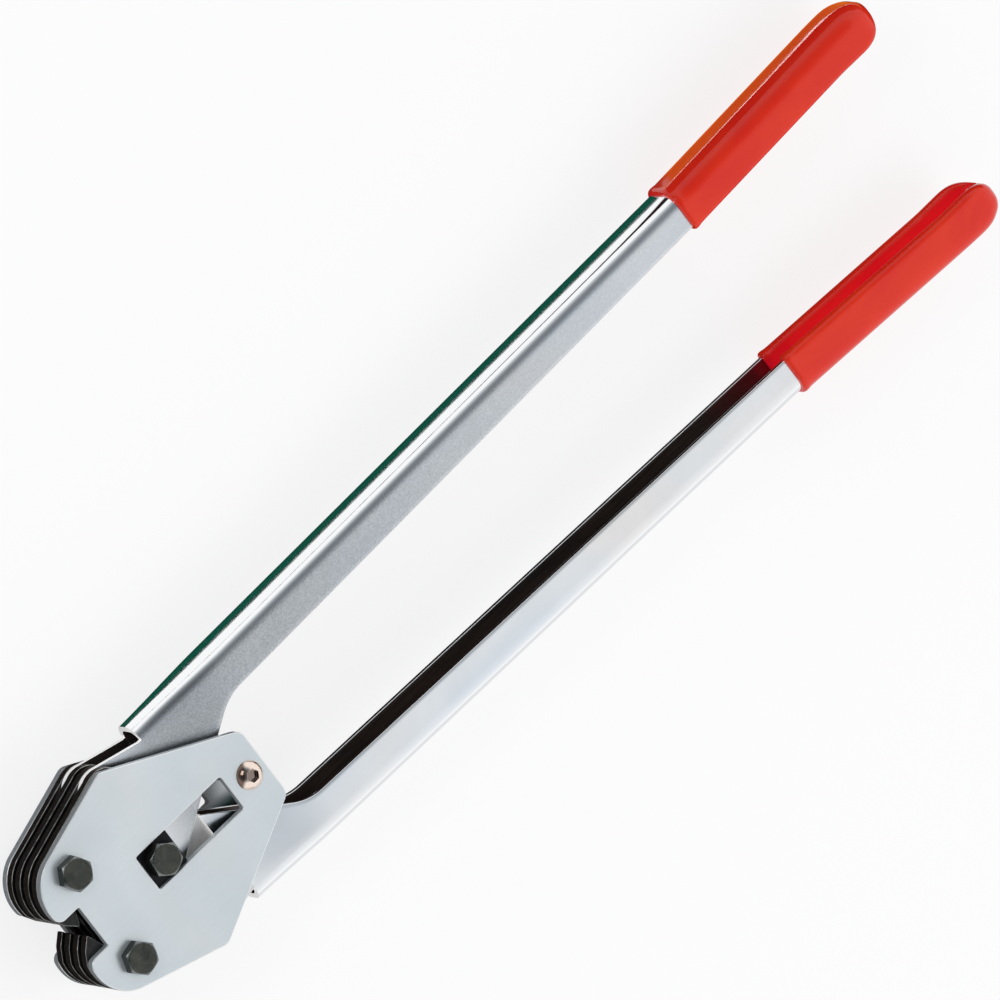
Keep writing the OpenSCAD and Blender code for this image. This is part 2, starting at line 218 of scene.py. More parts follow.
def zinc_handle(name, dull):
    """Bright plating on the drawn channel: mirror-like on the web and bends, satin on the flanges.
    Dull, from 0 to 1, frosts the flanges towards the head and paints shade on them next to the plates."""
    m, t = material(name)
    x = t.position()[0]
    draw = t.noise(t.coords((14, 1400, 1400)), 5.0, 5, 0.55)
    cloud = t.noise(t.coords(), 22.0, 4, 0.6, 0.5)
    tint = t.noise(t.coords((0.4, 1, 1)), 14.0, 2, 0.5, 1.0)
    speck = t.noise(t.coords(), 1500.0, 3, 0.7)
    flange = t.span(t.math("ABSOLUTE", t.normal()[2]), 0.86, 0.985)
    elsewhere = t.minus(1.0, flange)
    base = t.ramp(tint, [(0.28, (0.70, 0.76, 0.83)), (0.5, (0.78, 0.81, 0.84)), (0.74, (0.85, 0.82, 0.81))])
    base = t.mix(t.span(cloud, 0.35, 0.7, 0.0, 0.25), base, (0.66, 0.70, 0.74))
    base = t.mix(elsewhere, base, (0.93, 0.94, 0.95))
    smooth = t.span(draw, 0.3, 0.7, 0.035, 0.07)
    frost = t.plus(t.span(cloud, 0.3, 0.7, 0.16, 0.24), t.span(draw, 0.3, 0.7, -0.02, 0.03))
    normal = t.bump(draw, 0.03, FINE)
    if dull:
        along = t.span(x, 400 * MM, 120 * MM, 0.25, 1.0)
        start = t.span(x, 52 * MM, 68 * MM, 0.25 * dull, dull)
        zone = t.times(t.times(along, flange), start, clamp=True)
        base = t.mix(t.times(zone, t.span(speck, 0.35, 0.65, 0.45, 1.0)), base, (0.35, 0.37, 0.39))
        # painted shade: the flanges turn black in narrow gaps next to the plates, for shade and the plates'
        # dark undersides mirrored there
        clear = t.math("MAXIMUM", t.gap(PAINTED_SHADE_REACH, 0.50, 0.72), t.span(x, 95 * MM, 100 * MM))
        base = t.mix(clear, PAINTED_SHADE_BLACK, base)
        frost = t.plus(frost, t.times(zone, 0.14))
        normal = t.bump(speck, t.times(zone, 0.30), FINE, normal)
    rough = t.plus(t.times(flange, frost), t.times(elsewhere, smooth))
    t.finish(Base_Color=base, Metallic=1.0, Roughness=rough, Normal=normal)
    return m


def zinc_ear(name, inside):
    """Satin plating on the flat ears; the face that looks inwards, to z times inside, is painted shade, dark.
    """
    m, t = material(name)
    cloud = t.noise(t.coords(), 60.0, 4, 0.6, 0.5)
    speck = t.noise(t.coords(), 1500.0, 3, 0.7)
    base = t.mix(t.span(cloud, 0.35, 0.65), (0.88, 0.87, 0.85), (0.74, 0.75, 0.76))
    inward_shade = t.span(t.times(t.normal()[2], inside), 0.4, 0.8)
    # painted shade: the face that looks into the gap between the ears is made dark
    base = t.mix(inward_shade, base, (0.035, 0.028, 0.026))
    t.finish(Base_Color=base, Metallic=0.3, Roughness=t.span(cloud, 0.3, 0.7, 0.26, 0.36),
             Normal=t.bump(speck, 0.10, FINE))
    return m


def zinc_inside():
    """Inner faces of the channel: painted shade, dark brown with streaks, and a painted red reflection of the
    grip towards the grip.
    """
    m, t = material("zinc_inside")
    x = t.position()[0]
    streak = t.noise(t.coords((10, 500, 500)), 5.0, 5, 0.6)
    blotch = t.noise(t.coords((0.3, 1, 1)), 60.0, 3, 0.5, 0.8)
    # painted shade: dark tones stand for the unlit inside of the channel
    base = t.ramp(streak, [(0.3, (0.040, 0.028, 0.024)), (0.7, (0.100, 0.072, 0.062))])
    base = t.mix(t.span(blotch, 0.45, 0.7, 0.0, 0.6), base, (0.016, 0.020, 0.020))
    # painted reflection: the red grip mirrored in the channel near it
    base = t.mix(t.span(x, 345 * MM, 384 * MM, 0.0, 0.9), base, (0.24, 0.010, 0.020))
    t.finish(Base_Color=base, Metallic=0.35, Roughness=t.span(streak, 0.3, 0.7, 0.16, 0.26),
             Normal=t.bump(streak, 0.05, FINE))
    return m


def black_oxide(name, dark, light, wear, rough):
    """Blackened steel with brassy worn specks and painted highlights on the edges."""
    m, t = material(name)
    blotch = t.noise(t.coords(), 160.0, 5, 0.65, 0.6)
    fine = t.noise(t.coords(), 1300.0, 4, 0.7)
    base = t.ramp(blotch, [(0.32, dark), (0.68, light)])
    worn = t.times(t.span(t.cells(950.0), 0.16, 0.05), t.span(blotch, 0.48, 0.62, 0.0, wear))
    base = t.mix(worn, base, (0.42, 0.35, 0.22))
    # painted highlight: the eased edges are lightened as if they caught the light
    edge = t.times(t.rim(0.40), t.span(blotch, 0.35, 0.6, 0.10, 0.55))
    base = t.mix(edge, base, (0.40, 0.42, 0.42))
    t.finish(Base_Color=base, Metallic=0.85, Roughness=t.span(blotch, 0.3, 0.7, rough - 0.06, rough + 0.12),
             Normal=t.bump(fine, 0.22, 0.3 * MM))
    return m


def jaw_steel():
    """Hardened leaves: black scale on the faces, brownish ground marks round the sides, and bright edges that
    are partly worn bare steel and partly painted highlight.
    """
    m, t = material("jaw_steel")
    side = t.span(t.math("ABSOLUTE", t.normal()[2]), 0.9, 0.5)
    streak = t.noise(t.coords((700, 700, 90)), 4.0, 5, 0.65)
    blotch = t.noise(t.coords(), 120.0, 4, 0.6, 0.5)
    wear = t.noise(t.coords(), 260.0, 4, 0.7)
    scale = t.ramp(blotch, [(0.3, (0.020, 0.021, 0.022)), (0.7, (0.055, 0.055, 0.052))])
    ground = t.ramp(streak, [(0.3, (0.050, 0.044, 0.040)), (0.72, (0.24, 0.21, 0.185))])
    # bright edges: partly wear, partly painted highlight as if the edges caught the light
    edge = t.times(t.rim(0.22), t.span(wear, 0.34, 0.62, 0.10, 0.9))
    base = t.mix(edge, t.mix(side, scale, ground), (0.66, 0.66, 0.65))
    t.finish(Base_Color=base, Metallic=0.9, Roughness=t.span(streak, 0.3, 0.7, 0.26, 0.42),
             Normal=t.bump(streak, 0.18, 0.3 * MM))
    return m


def plain_steel(name, color, rough, metal=1.0, glow=0.0):
    """Turned or cut bare metal; glow is painted light, a light the metal gives off itself that lifts thin
    edges as if they caught the light.
    """
    m, t = material(name)
    turn = t.noise(t.coords((900, 900, 60)), 5.0, 4, 0.6)
    cloud = t.noise(t.coords(), 70.0, 3, 0.6)
    base = t.mix(t.span(cloud, 0.3, 0.7, 0.0, 0.35), color, tuple(c * 0.7 for c in color))
    t.finish(Base_Color=base, Metallic=metal, Roughness=t.span(turn, 0.3, 0.7, rough - 0.05, rough + 0.08),
             Normal=t.bump(turn, 0.12, FINE), Emission_Color=color, Emission_Strength=glow)
    return m


def button_screw(node):
    """Warm nickel with painted shade in the socket and a painted dark reflection on its left side."""
    m, t = material("warm_nickel")
    low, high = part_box(node)
    x, y, z = t.position()
    dx = t.minus(x, (low.x + high.x) / 2)
    radius = t.math("SQRT", t.plus(t.times(dx, dx), t.times(y, y)))
    turn = t.noise(t.coords((400, 400, 60)), 5.0, 4, 0.6)
    # painted shade: the socket is darkened
    socket = t.times(t.span(radius, 2.6 * MM, 2.2 * MM), t.span(z, 20.5 * MM, 20.0 * MM), clamp=True)
    base = t.mix(t.span(turn, 0.3, 0.7, 0.0, 0.3), (0.93, 0.79, 0.70), (0.74, 0.58, 0.50))
    base = t.mix(t.times(socket, 0.8), base, (0.10, 0.07, 0.06))
    nx, ny = t.normal()[:2]
    # painted reflection: the side turned to the left is darkened, as if it mirrored something dark
    left_reflection = t.minus(t.times(nx, -0.77), t.times(ny, -0.64))
    base = t.mix(t.span(left_reflection, 0.36, 0.52, 0.0, 0.9), base, (0.10, 0.055, 0.04))
    t.finish(Base_Color=base, Metallic=1.0, Roughness=t.span(turn, 0.3, 0.7, 0.10, 0.17),
             Normal=t.bump(turn, 0.08, FINE))
    return m


def vinyl():
    """Dipped vinyl: glossy red, deeper in places, with faint orange peel and a painted red glow in hollows,
    standing for light bounced there.
    """
    m, t = material("vinyl_red")
    thick = t.noise(t.coords((0.5, 1, 1)), 45.0, 3, 0.5, 0.6)
    peel = t.noise(t.coords(), 420.0, 2, 0.5)
    wave = t.noise(t.coords((0.35, 1, 1)), 70.0, 2, 0.5)
    base = t.ramp(thick, [(0.3, (0.76, 0.016, 0.010)), (0.7, (0.86, 0.036, 0.009))])
    normal = t.bump(peel, 0.03, 0.4 * MM, t.bump(wave, 0.06, 1.5 * MM))
    # painted light: a red glow in hollows stands for light bounced inside the grip
    painted_hollow_glow = t.gap(20 * MM, 0.95, 0.45)
    t.finish(Base_Color=base, Roughness=t.span(thick, 0.3, 0.7, 0.06, 0.11), IOR=1.45,
             Specular_IOR_Level=0.38, Normal=normal, Emission_Color=(0.60, 0.0, 0.035),
             Emission_Strength=t.times(painted_hollow_glow, 0.24))
    return m


# ---------- finishing of the CAD nodes ----------

def dress(name, finish, bevel):
    """Gives a CAD node its material and rounds its sharp edges with modifiers."""
    o = nodes[name]
    o.data.materials.clear()
    o.data.materials.append(finish)
    for face in o.data.polygons:
        face.use_smooth = True
    weld = o.modifiers.new("weld", "WELD")
    weld.merge_threshold = 0.002 * MM
    flat = o.modifiers.new("flat", "DECIMATE")
    flat.decimate_type = "DISSOLVE"
    flat.angle_limit = math.radians(0.6)
    rounding = o.modifiers.new("bevel", "BEVEL")
    rounding.width = bevel * MM
    rounding.segments = 3
    rounding.limit_method = "ANGLE"
    rounding.angle_limit = math.radians(38)
    rounding.use_clamp_overlap = True
    rounding.miter_outer = "MITER_ARC"
    o.modifiers.new("normals", "WEIGHTED_NORMAL").keep_sharp = False


M_UPPER = zinc_handle("zinc_upper_handle", 0.9)
M_LOWER = zinc_handle("zinc_lower_handle", 0.0)
M_BOLT = black_oxide("bolt_black_oxide", (0.034, 0.040, 0.036), (0.080, 0.083, 0.072), 0.9, 0.26)
M_BLOCK = black_oxide("guide_block_black", (0.010, 0.011, 0.012), (0.022, 0.024, 0.026), 0.1, 0.36)
M_ANVIL = black_oxide("anvil_black", (0.014, 0.014, 0.014), (0.035, 0.034, 0.032), 0.3, 0.42)
M_STEEL = plain_steel("ground_steel", (0.50, 0.50, 0.49), 0.24)
M_HARDWARE = plain_steel("zinc_hardware", (0.66, 0.68, 0.70), 0.26)
# painted highlight: the cut edges glow a little, as if they caught the light
M_CUT = plain_steel("zinc_cut_edge", (0.92, 0.91, 0.90), 0.30, metal=0.25, glow=0.42)
M_INSIDE = zinc_inside()
M_EAR_FRONT = zinc_ear("zinc_front_ear", -1.0)
M_EAR_REAR = zinc_ear("zinc_rear_ear", 1.0)
M_VINYL = vinyl()

LEAVES = ["%s_jaw_leaf_%d" % (side, i) for side in ("upper", "lower") for i in range(1, 5)]
PINS = ["jaw_pivot_bushes", "centre_bush", "centre_spacer", "upper_jaw_pin", "lower_jaw_pin"]
FINISHES = (                         # material, rounding in mm, nodes
    (zinc_plate("zinc_front_plate", False), 0.45, ["front_plate"]),
    (zinc_plate("zinc_rear_plate", True), 0.45, ["rear_plate"]),
    (M_BOLT, 0.30, ["jaw_pivot_bolts", "jaw_pivot_nuts", "centre_bolt", "centre_nut"]),
    (M_BLOCK, 0.35, ["front_guide_block", "rear_guide_block"]),
    (M_STEEL, 0.25, PINS),
    (M_HARDWARE, 0.30, ["tie_spacer", "tie_nut"]),
    (button_screw("tie_screw"), 0.25, ["tie_screw"]),
    (M_ANVIL, 0.15, ["anvil_plates"]),
    (jaw_steel(), 0.28, LEAVES),
)
for finish, bevel, names in FINISHES:
    for name in names:
        dress(name, finish, bevel)


# ---------- handles and grips: dimensions in mm, upper handle, seen from the front ----------

WEB_X, WEB_Y, WEB_RISE = 66.6, 46.0, math.tan(math.radians(0.86))          # back of the channel
EDGE_X, EDGE_Y, EDGE_RISE = 116.6, 27.1, math.tan(math.radians(1.62))      # free edge of the flanges
SPLAY_X, SPLAY_RISE = 383.6, math.tan(math.radians(2.7))                   # kink under the grip
HALF_START, HALF, TAPER_END = 8.65, 11.0, 112.6     # half width at the ears, then from TAPER_END on
SHEET, COAT, BEND_R, EASE = 2.5, 1.7, 6.5, 0.35     # sheet, vinyl, outer bend, eased cut edges
GRIP_X, TIP_X, HOOK_Y = 384.6, 503.5, 38.9          # grip's lip, handle's end, flange height there
UPPER_SHIFT, LOWER_SHIFT = 0.3, -3.0                # how far each grip is dipped from GRIP_X
TIP_ROUND, TIP_END, TIP_Y = 17.0, 504.0, 47.94      # length and end of the rounded tip, height it closes at

CENTRE, BOSS_R, FLARE = Vector((40.6, 0.0)), 14.2, 34.6      # boss on the centre pivot, flare in degrees
JAW_PIN, PIN_BOSS_R = Vector((40.6, 35.0)), 10.6
CENTRE_HOLE_R, SLOT_R, SLOT_TRAVEL, SLOT_SIDE = 6.05, 5.35, 4.7, 0.5
EAR_Z, DEEP_EAR_Z, JOGGLE = 6.15, 3.55, (18.75, 21.3)        # ear's inner face, stepped ear, step in y


def web_line(x):
    """Height of the channel's back."""
    return WEB_Y + (x - WEB_X) * WEB_RISE + max(0.0, x - SPLAY_X) * (SPLAY_RISE - WEB_RISE)


def edge_line(x):
    """Height of the flanges' free edge between the flare and the tip."""
    return EDGE_Y + (x - EDGE_X) * EDGE_RISE + max(0.0, x - SPLAY_X) * (SPLAY_RISE - EDGE_RISE)


def ratio(x, low, high):
    """How far x is from low to high, from 0 to 1."""
    return min(max((x - low) / (high - low), 0.0), 1.0)


def steps(start, step, count):
    return [start + step * i for i in range(count)]


def polar(r, degrees):
    return Vector((r * math.cos(math.radians(degrees)), r * math.sin(math.radians(degrees))))


def heading(v):
    return math.degrees(math.atan2(v.y, v.x))


def arc(centre, r, start, end, count):
    return [centre + polar(r, start + (end - start) * i / count) for i in range(count + 1)]


def corner(a, b, c, r, count):
    """Arc of radius r that rounds the corner b of the path a, b, c."""
    a, b, c = Vector(a), Vector(b), Vector(c)
    u, v = (a - b).normalized(), (c - b).normalized()
    half = math.acos(u.dot(v)) / 2
    middle = b + (u + v).normalized() * r / math.sin(half)
    reach = r / math.tan(half)
    start, end = heading(b + u * reach - middle), heading(b + v * reach - middle)
    turn = (end - start + 180) % 360 - 180
    return arc(middle, r, start, start + turn, count)


def at_x(path, x):
    """Height of a path, sorted by x, at x."""
    for a, b in zip(path, path[1:]):
        if a.x <= x <= b.x and b.x > a.x:
            return a.y + (b.y - a.y) * (x - a.x) / (b.x - a.x)
    return path[0].y if x < path[0].x else path[-1].y


def quarter(cy, cz, ry, rz, start, end, count):
    """Points (y, z) on an ellipse between two angles measured from +z towards +y."""
    out = []
    for i in range(count + 1):
        a = math.radians(start + (end - start) * i / count)
        out.append((cy + ry * math.sin(a), cz + rz * math.cos(a)))
    return out


def between(p, q, count):
    """Points that divide a line into count parts, without its ends."""
    return [(p[0] + (q[0] - p[0]) * i / count, p[1] + (q[1] - p[1]) * i / count) for i in range(1, count)]


def full_loop(half):
    """Closed loop from the half with z >= 0, which starts and ends on z = 0."""
    return half + [(y, -z) for y, z in reversed(half[1:-1])]


def new_piece(name, bm, finishes):
    """Object from a bmesh, with its materials in order."""
    mesh = bpy.data.meshes.new(name)
    bm.to_mesh(mesh)
    bm.free()
    for finish in finishes:
        mesh.materials.append(finish)
    o = bpy.data.objects.new(name, mesh)
    bpy.context.scene.collection.objects.link(o)
    return o


def loft(name, stations, sections, finishes, mirror, end_slot=0, inner=(0, 0), round_end=False):
    """Skins closed (y, z) loops placed along x. Points from inner[0] to inner[1] get the third
    material, flat ends the one in end_slot; a round end stays smooth."""
    bm = bmesh.new()
    side = -1.0 if mirror else 1.0
    rings = []
    for x, section in zip(stations, sections):
        rings.append([bm.verts.new((x * MM, side * y * MM, z * MM)) for y, z in section])
    for ring, after in zip(rings, rings[1:]):
        for i in range(len(ring)):
            j = (i + 1) % len(ring)
            face = bm.faces.new((ring[i], ring[j], after[j], after[i]))
            if inner[0] <= i < inner[1]:
                face.material_index = 2
    caps = [bm.faces.new(rings[0]), bm.faces.new(rings[-1])]
    for face in bm.faces:
        face.smooth = True
    for face in caps[:1] if round_end else caps:
        face.smooth = False
        face.material_index = end_slot
        for edge in face.edges:
            edge.smooth = False
    bmesh.ops.recalc_face_normals(bm, faces=bm.faces)
    return new_piece(name, bm, finishes)


# ---------- channel ----------

BEND_STEPS, FLANGE_STEPS = 12, 8
FLARE_BEND_R, STRAIGHT_X = 24.0, 166.0      # bend between flare and straight edge, a point on the latter


def channel_outside(top, low, half):
    """Upper half of the channel's outer section, from the middle of the back to the flange's edge."""
    return ([(top, 0.0), (top, (half - BEND_R) / 2)]
            + quarter(top - BEND_R, half - BEND_R, BEND_R, BEND_R, 90, 0, BEND_STEPS)
            + between((top - BEND_R, half), (low + EASE, half), FLANGE_STEPS)
            + [(low + EASE, half), (low + EASE * 0.3, half - EASE * 0.3), (low, half - EASE)])


def channel_inside(top, low, half):
    """The same for the inner section, from the flange's edge back to the middle."""
    r, top, half = BEND_R - SHEET, top - SHEET, half - SHEET
    return ([(low, half + EASE), (low + EASE * 0.3, half + EASE * 0.3), (low + EASE, half)]
            + between((low + EASE, half), (top - r, half), FLANGE_STEPS)
            + quarter(top - r, half - r, r, r, 0, 90, FLANGE_STEPS)
            + [(top, 0.0)])


def flange_edge():
    """Path of the flange's free edge from the ear to the grip."""
    heel = CENTRE + polar(BOSS_R, FLARE - 90)
    rise = math.tan(math.radians(FLARE))
    bend_x = heel.x + (edge_line(TAPER_END) - heel.y) / rise + 2
    bend = Vector((bend_x, heel.y + (bend_x - heel.x) * rise))
    straight = Vector((STRAIGHT_X, edge_line(STRAIGHT_X)))
    bent = corner(heel, bend, straight, FLARE_BEND_R, 16)
    return [heel] + bent + [Vector((SPLAY_X, edge_line(SPLAY_X)))]


def build_channel(name, mirror, finishes):
    """The formed channel from the ears to inside the grip, with stations closest along the flare."""
    edge = flange_edge()
    xs = steps(WEB_X, 2.3, 24) + steps(122, 9.34, 28)
    xs += [SPLAY_X + d for d in (-4, -2, 0, 2, 4, 8)] + steps(SPLAY_X + 14, 10, 9)
    xs = sorted(set(round(x, 3) for x in xs if x < TIP_X - 18))
    sections = []
    for x in xs:
        u = ratio(x, WEB_X, TAPER_END)
        half = HALF_START + (HALF - HALF_START) * u * u * (3 - 2 * u)
        low = at_x(edge, x) if x <= SPLAY_X else edge_line(x)
        outside = channel_outside(web_line(x), low, half)
        sections.append(full_loop(outside + channel_inside(web_line(x), low, half)))
    first = len(outside) + 2                        # past the eased inner edge
    inner = (first, len(sections[0]) - first)
    return loft(name, xs, sections, finishes, mirror, end_slot=1, inner=inner)


# ---------- ears ----------

OVERLAP = 1.5                        # an ear's root starts this far before WEB_X and ends this far past it


def ear_outline():
    """The boss on the centre pivot, the boss on the jaw pin and the root that meets the channel."""
    across = JAW_PIN - CENTRE
    lean = math.degrees(math.asin((BOSS_R - PIN_BOSS_R) / across.length))
    outer = heading(across) + 90 - lean
    shoe = Vector((WEB_X - OVERLAP, WEB_Y - BEND_R + 0.4))
    reach = shoe - JAW_PIN
    inner = heading(reach) + math.degrees(math.acos(PIN_BOSS_R / reach.length))
    heel = CENTRE + polar(BOSS_R, FLARE - 90)
    end_x = WEB_X + OVERLAP
    end_y = heel.y + (end_x - heel.x) * math.tan(math.radians(FLARE)) + 0.05
    root = [shoe, Vector((end_x, shoe.y)), Vector((end_x, end_y))]
    pin_boss = arc(JAW_PIN, PIN_BOSS_R, outer, inner, 28)
    return pin_boss + root + arc(CENTRE, BOSS_R, FLARE - 90, outer - 360, 40)


def slot_outline():
    """The opened hole for the jaw pin."""
    outer = JAW_PIN + Vector((SLOT_SIDE, 0))
    inner = outer - Vector((0, SLOT_TRAVEL))
    return arc(outer, SLOT_R, 180, 0, 20) + arc(inner, SLOT_R, 0, -180, 20)


def sheet_mesh(name, outlines):
    """Flat sheet round z = 0 with eased edges: the first outline, less the others."""
    curve = bpy.data.curves.new(name, "CURVE")
    curve.dimensions = "2D"
    curve.fill_mode = "BOTH"
    for path in outlines:
        spline = curve.splines.new("POLY")
        spline.points.add(len(path) - 1)
        for point, v in zip(spline.points, path):
            point.co = (v.x * MM, v.y * MM, 0, 1)
        spline.use_cyclic_u = True
    curve.extrude = (SHEET / 2 - EASE - 0.015) * MM
    curve.bevel_depth = EASE * MM
    curve.bevel_resolution = 2
    curve.offset = -EASE * MM
    blank = bpy.data.objects.new(name + "_curve", curve)
    bpy.context.scene.collection.objects.link(blank)
    mesh = bpy.data.meshes.new_from_object(blank.evaluated_get(bpy.context.evaluated_depsgraph_get()))
    bpy.data.objects.remove(blank)
    bm = bmesh.new()
    bm.from_mesh(mesh)
    bpy.data.meshes.remove(mesh)
    bmesh.ops.remove_doubles(bm, verts=bm.verts, dist=0.001 * MM)
    return bm


def build_ear(name, front, mirror, finishes):
    """One flat ear. The lower handle's ears are mirrored, and stepped inwards to pass the upper ones."""
    centre_hole = arc(CENTRE, CENTRE_HOLE_R, 0, 360, 48)[:-1]
    bm = sheet_mesh(name, (ear_outline(), slot_outline(), centre_hole))
    inner_y, outer_y = JOGGLE
    if mirror:
        for y in (-outer_y, -inner_y, inner_y, outer_y):
            geometry = bm.verts[:] + bm.edges[:] + bm.faces[:]
            bmesh.ops.bisect_plane(bm, geom=geometry, plane_co=(0, y * MM, 0), plane_no=(0, 1, 0))
    for v in bm.verts:
        out = ratio(v.co.y / MM, inner_y, outer_y) if mirror else 1.0
        v.co.z += (DEEP_EAR_Z + (EAR_Z - DEEP_EAR_Z) * out + SHEET / 2) * MM
        if not front:
            v.co.z *= -1
        if mirror:
            v.co.y *= -1
    bmesh.ops.recalc_face_normals(bm, faces=bm.faces)
    if bm.calc_volume(signed=True) < 0:
        bmesh.ops.reverse_faces(bm, faces=bm.faces[:])
    bm.normal_update()
    for face in bm.faces:
        face.smooth = False
        face.material_index = 0 if abs(face.normal.z) > 0.75 else 1
    return new_piece(name, bm, finishes)


# ---------- grips ----------

# The rolled lip: distance from the grip's start, how far it stands out from the coat
LIP = ((0.0, -0.8), (0.12, -0.42), (0.4, -0.08), (0.9, 0.16), (1.8, 0.24), (2.8, 0.16), (4.2, 0.02),
       (6.0, 0.0))
WALL = SHEET + 2 * COAT
BACK_DROP, BACK_DROP_LENGTH = 1.2, 26.0             # how far the back comes down at the tip, over what length
DISH_START, DISH_LENGTH, DISH_FLARE = 30.0, 27.0, 2.2       # where the hollow runs out, how far it widens
HOOK_LENGTH = 9.0                                   # stretch at the end where the flange is level
HOOK_START, HOOK_BEND, HOOK_END, HOOK_R = 56.0, 27.0, 5.8, 40.0     # its upward curve, from the tip back


def lip_growth(t):
    """How far the coat stands out at t from the grip's start."""
    for (t0, g0), (t1, g1) in zip(LIP, LIP[1:]):
        if t <= t1:
            return g0 + (g1 - g0) * (t - t0) / (t1 - t0)
    return 0.0


def tip_outline():
    """Coated flange edge near the handle's end: it curves up from the straight edge to the tip."""
    start_x, bend_x = TIP_X - HOOK_START, TIP_X - HOOK_BEND
    start = Vector((start_x, edge_line(start_x) - COAT))
    bend = Vector((bend_x, edge_line(bend_x) - COAT))
    end = Vector((TIP_X - HOOK_END + COAT / 3, HOOK_Y - COAT))
    return corner(start, bend, end, HOOK_R, 12) + [end]


def grip_half(x, tip_edge):
    """Half of the grip's section at x: a thick channel that closes and rounds off at the tip."""
    lip = lip_growth(x - GRIP_X)
    drop_start = TIP_X - BACK_DROP_LENGTH
    top = web_line(x) + COAT + lip - BACK_DROP * max(0.0, (x - drop_start) / BACK_DROP_LENGTH) ** 2
    if x > tip_edge[0].x:
        low = at_x(tip_edge, min(x, TIP_X - HOOK_LENGTH)) - lip
    else:
        low = edge_line(x) - COAT - lip
    half = HALF + COAT + lip

    end = ratio(x, TIP_END - TIP_ROUND, TIP_END)
    shrink = max(1 - end ** 2.6, 0.0) ** 0.5
    top, low = TIP_Y + (top - TIP_Y) * shrink, TIP_Y - (TIP_Y - low) * shrink
    half *= max(1 - end ** 3.4, 0.0) ** 0.5
    tall = max(top - low, 0.02)

    dish = ratio(x, TIP_X - DISH_START, TIP_X - DISH_START + DISH_LENGTH)
    fade = math.sqrt(max(1 - dish ** 2.2, 0.0))
    depth = max((tall - WALL - 2 * max(lip, 0)) * fade, 0.03)
    opening = HALF + COAT - WALL - lip + DISH_FLARE * math.sin(math.pi * dish)
    opening = min(max(opening * (0.25 + 0.75 * fade), 0.5), half * 0.55)
    floor = low + depth

    back_r = min(BEND_R + COAT, 0.48 * tall, 0.9 * half)
    rim_r = min(2.7, 0.4 * tall, (half - opening) * 0.48)
    mouth_r = min(2.5, depth * 0.75, (half - opening) * 0.48)
    floor_r = min(4.2, depth * 0.7, opening * 0.85)
    return ([(top, 0.0)] + between((top, 0.0), (top, half - back_r), 4)
            + quarter(top - back_r, half - back_r, back_r, back_r, 90, 0, 14)
            + between((top - back_r, half), (low + rim_r, half), 5)
            + quarter(low + rim_r, half - rim_r, rim_r, rim_r, 0, -90, 8)
            + quarter(low + mouth_r, opening + mouth_r, mouth_r, mouth_r, -90, -180, 8)
            + between((low + mouth_r, opening), (floor - floor_r, opening), 4)
            + quarter(floor - floor_r, opening - floor_r, floor_r, floor_r, 0, 90, 8)
            + between((floor, opening - floor_r), (floor, 0.0), 3) + [(floor, 0.0)])


def build_grip(name, mirror, shift, finishes):
    """The dipped grip with its lip, with stations closest at the lip and round the tip."""
    tip_edge = tip_outline()
    xs = [GRIP_X + t for t, _ in LIP] + [GRIP_X + t for t in (0.25, 0.65, 1.3, 3.4)]
    xs += steps(GRIP_X + 8, 4.5, 16) + steps(TIP_X - 42, 1.5, 22)
    start, end = TIP_X - HOOK_LENGTH, TIP_END - 0.10
    xs += [start + (end - start) * math.sin(math.radians(90 * i / 22)) for i in range(23)]
    xs = sorted(set(round(x, 4) for x in xs))
    sections = [full_loop(grip_half(x, tip_edge)) for x in xs]
    return loft(name, [x + shift for x in xs], sections, finishes, mirror, round_end=True)


# ---------- placing the handles and grips ----------

def place(piece, body, node, slot):
    """The piece is shown instead of the CAD node, which is hidden, and moves with its body. The slot is not
    used.
    """
    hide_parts(node)
    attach(piece, body)


for side, mirror, shift, finish, front_ear in (("upper", False, UPPER_SHIFT, M_UPPER, M_UPPER),
                                               ("lower", True, LOWER_SHIFT, M_LOWER, M_EAR_FRONT)):
    handle = side + "_handle"
    channel = build_channel(side + "_channel", mirror, [finish, M_CUT, M_INSIDE])
    place(channel, handle, handle, "handle_zinc")
    ear = build_ear(side + "_front_ear", True, mirror, [front_ear, M_CUT])
    place(ear, handle, handle, "handle_zinc")
    ear = build_ear(side + "_rear_ear", False, mirror, [M_EAR_REAR, M_CUT])
    place(ear, handle, handle, "handle_zinc")
    grip = build_grip(side + "_grip_dip", mirror, shift, [M_VINYL])
    place(grip, handle, side + "_grip", "grip_vinyl")


# ---------- camera ----------

AIM = Vector((252.34, 3.3, -0.5)) * MM
CAMERA_AZIMUTH, CAMERA_ELEVATION, CAMERA_ROLL = 131.892, 62.379, 97.467     # degrees
CAMERA_DISTANCE, CAMERA_LENS, SENSOR = 10.0, 892.5, 36.0                    # metres, mm, mm


def camera_axes():
    """Right, up and back directions of the camera."""
    azimuth, elevation = math.radians(CAMERA_AZIMUTH), math.radians(CAMERA_ELEVATION)
    roll = math.radians(CAMERA_ROLL)
    back = Vector((math.cos(elevation) * math.cos(azimuth), math.cos(elevation) * math.sin(azimuth),
                   math.sin(elevation)))
    level = Vector((-math.sin(azimuth), math.cos(azimuth), 0.0))
    upright = back.cross(level)
    right = level * math.cos(roll) + upright * math.sin(roll)
    return right, back.cross(right), back


def make_camera():
    """A long lens from far off, at the photograph's angle."""
    right, up, back = camera_axes()
    data = bpy.data.cameras.new("camera")
    data.sensor_width = SENSOR
    data.lens = CAMERA_LENS
    data.clip_start, data.clip_end = 0.5, 60.0
    o = bpy.data.objects.new("camera", data)
    turn = Matrix((right, up, back)).transposed().to_4x4()
    o.matrix_world = Matrix.Translation(AIM + back * CAMERA_DISTANCE) @ turn
    bpy.context.scene.collection.objects.link(o)
    bpy.context.scene.camera = o


# ---------- floor and light ----------

BAND_Y, BAND_RISE, BAND_WIDTH = 45 * MM, 0.015, 40 * MM      # strip of floor that the upper web mirrors


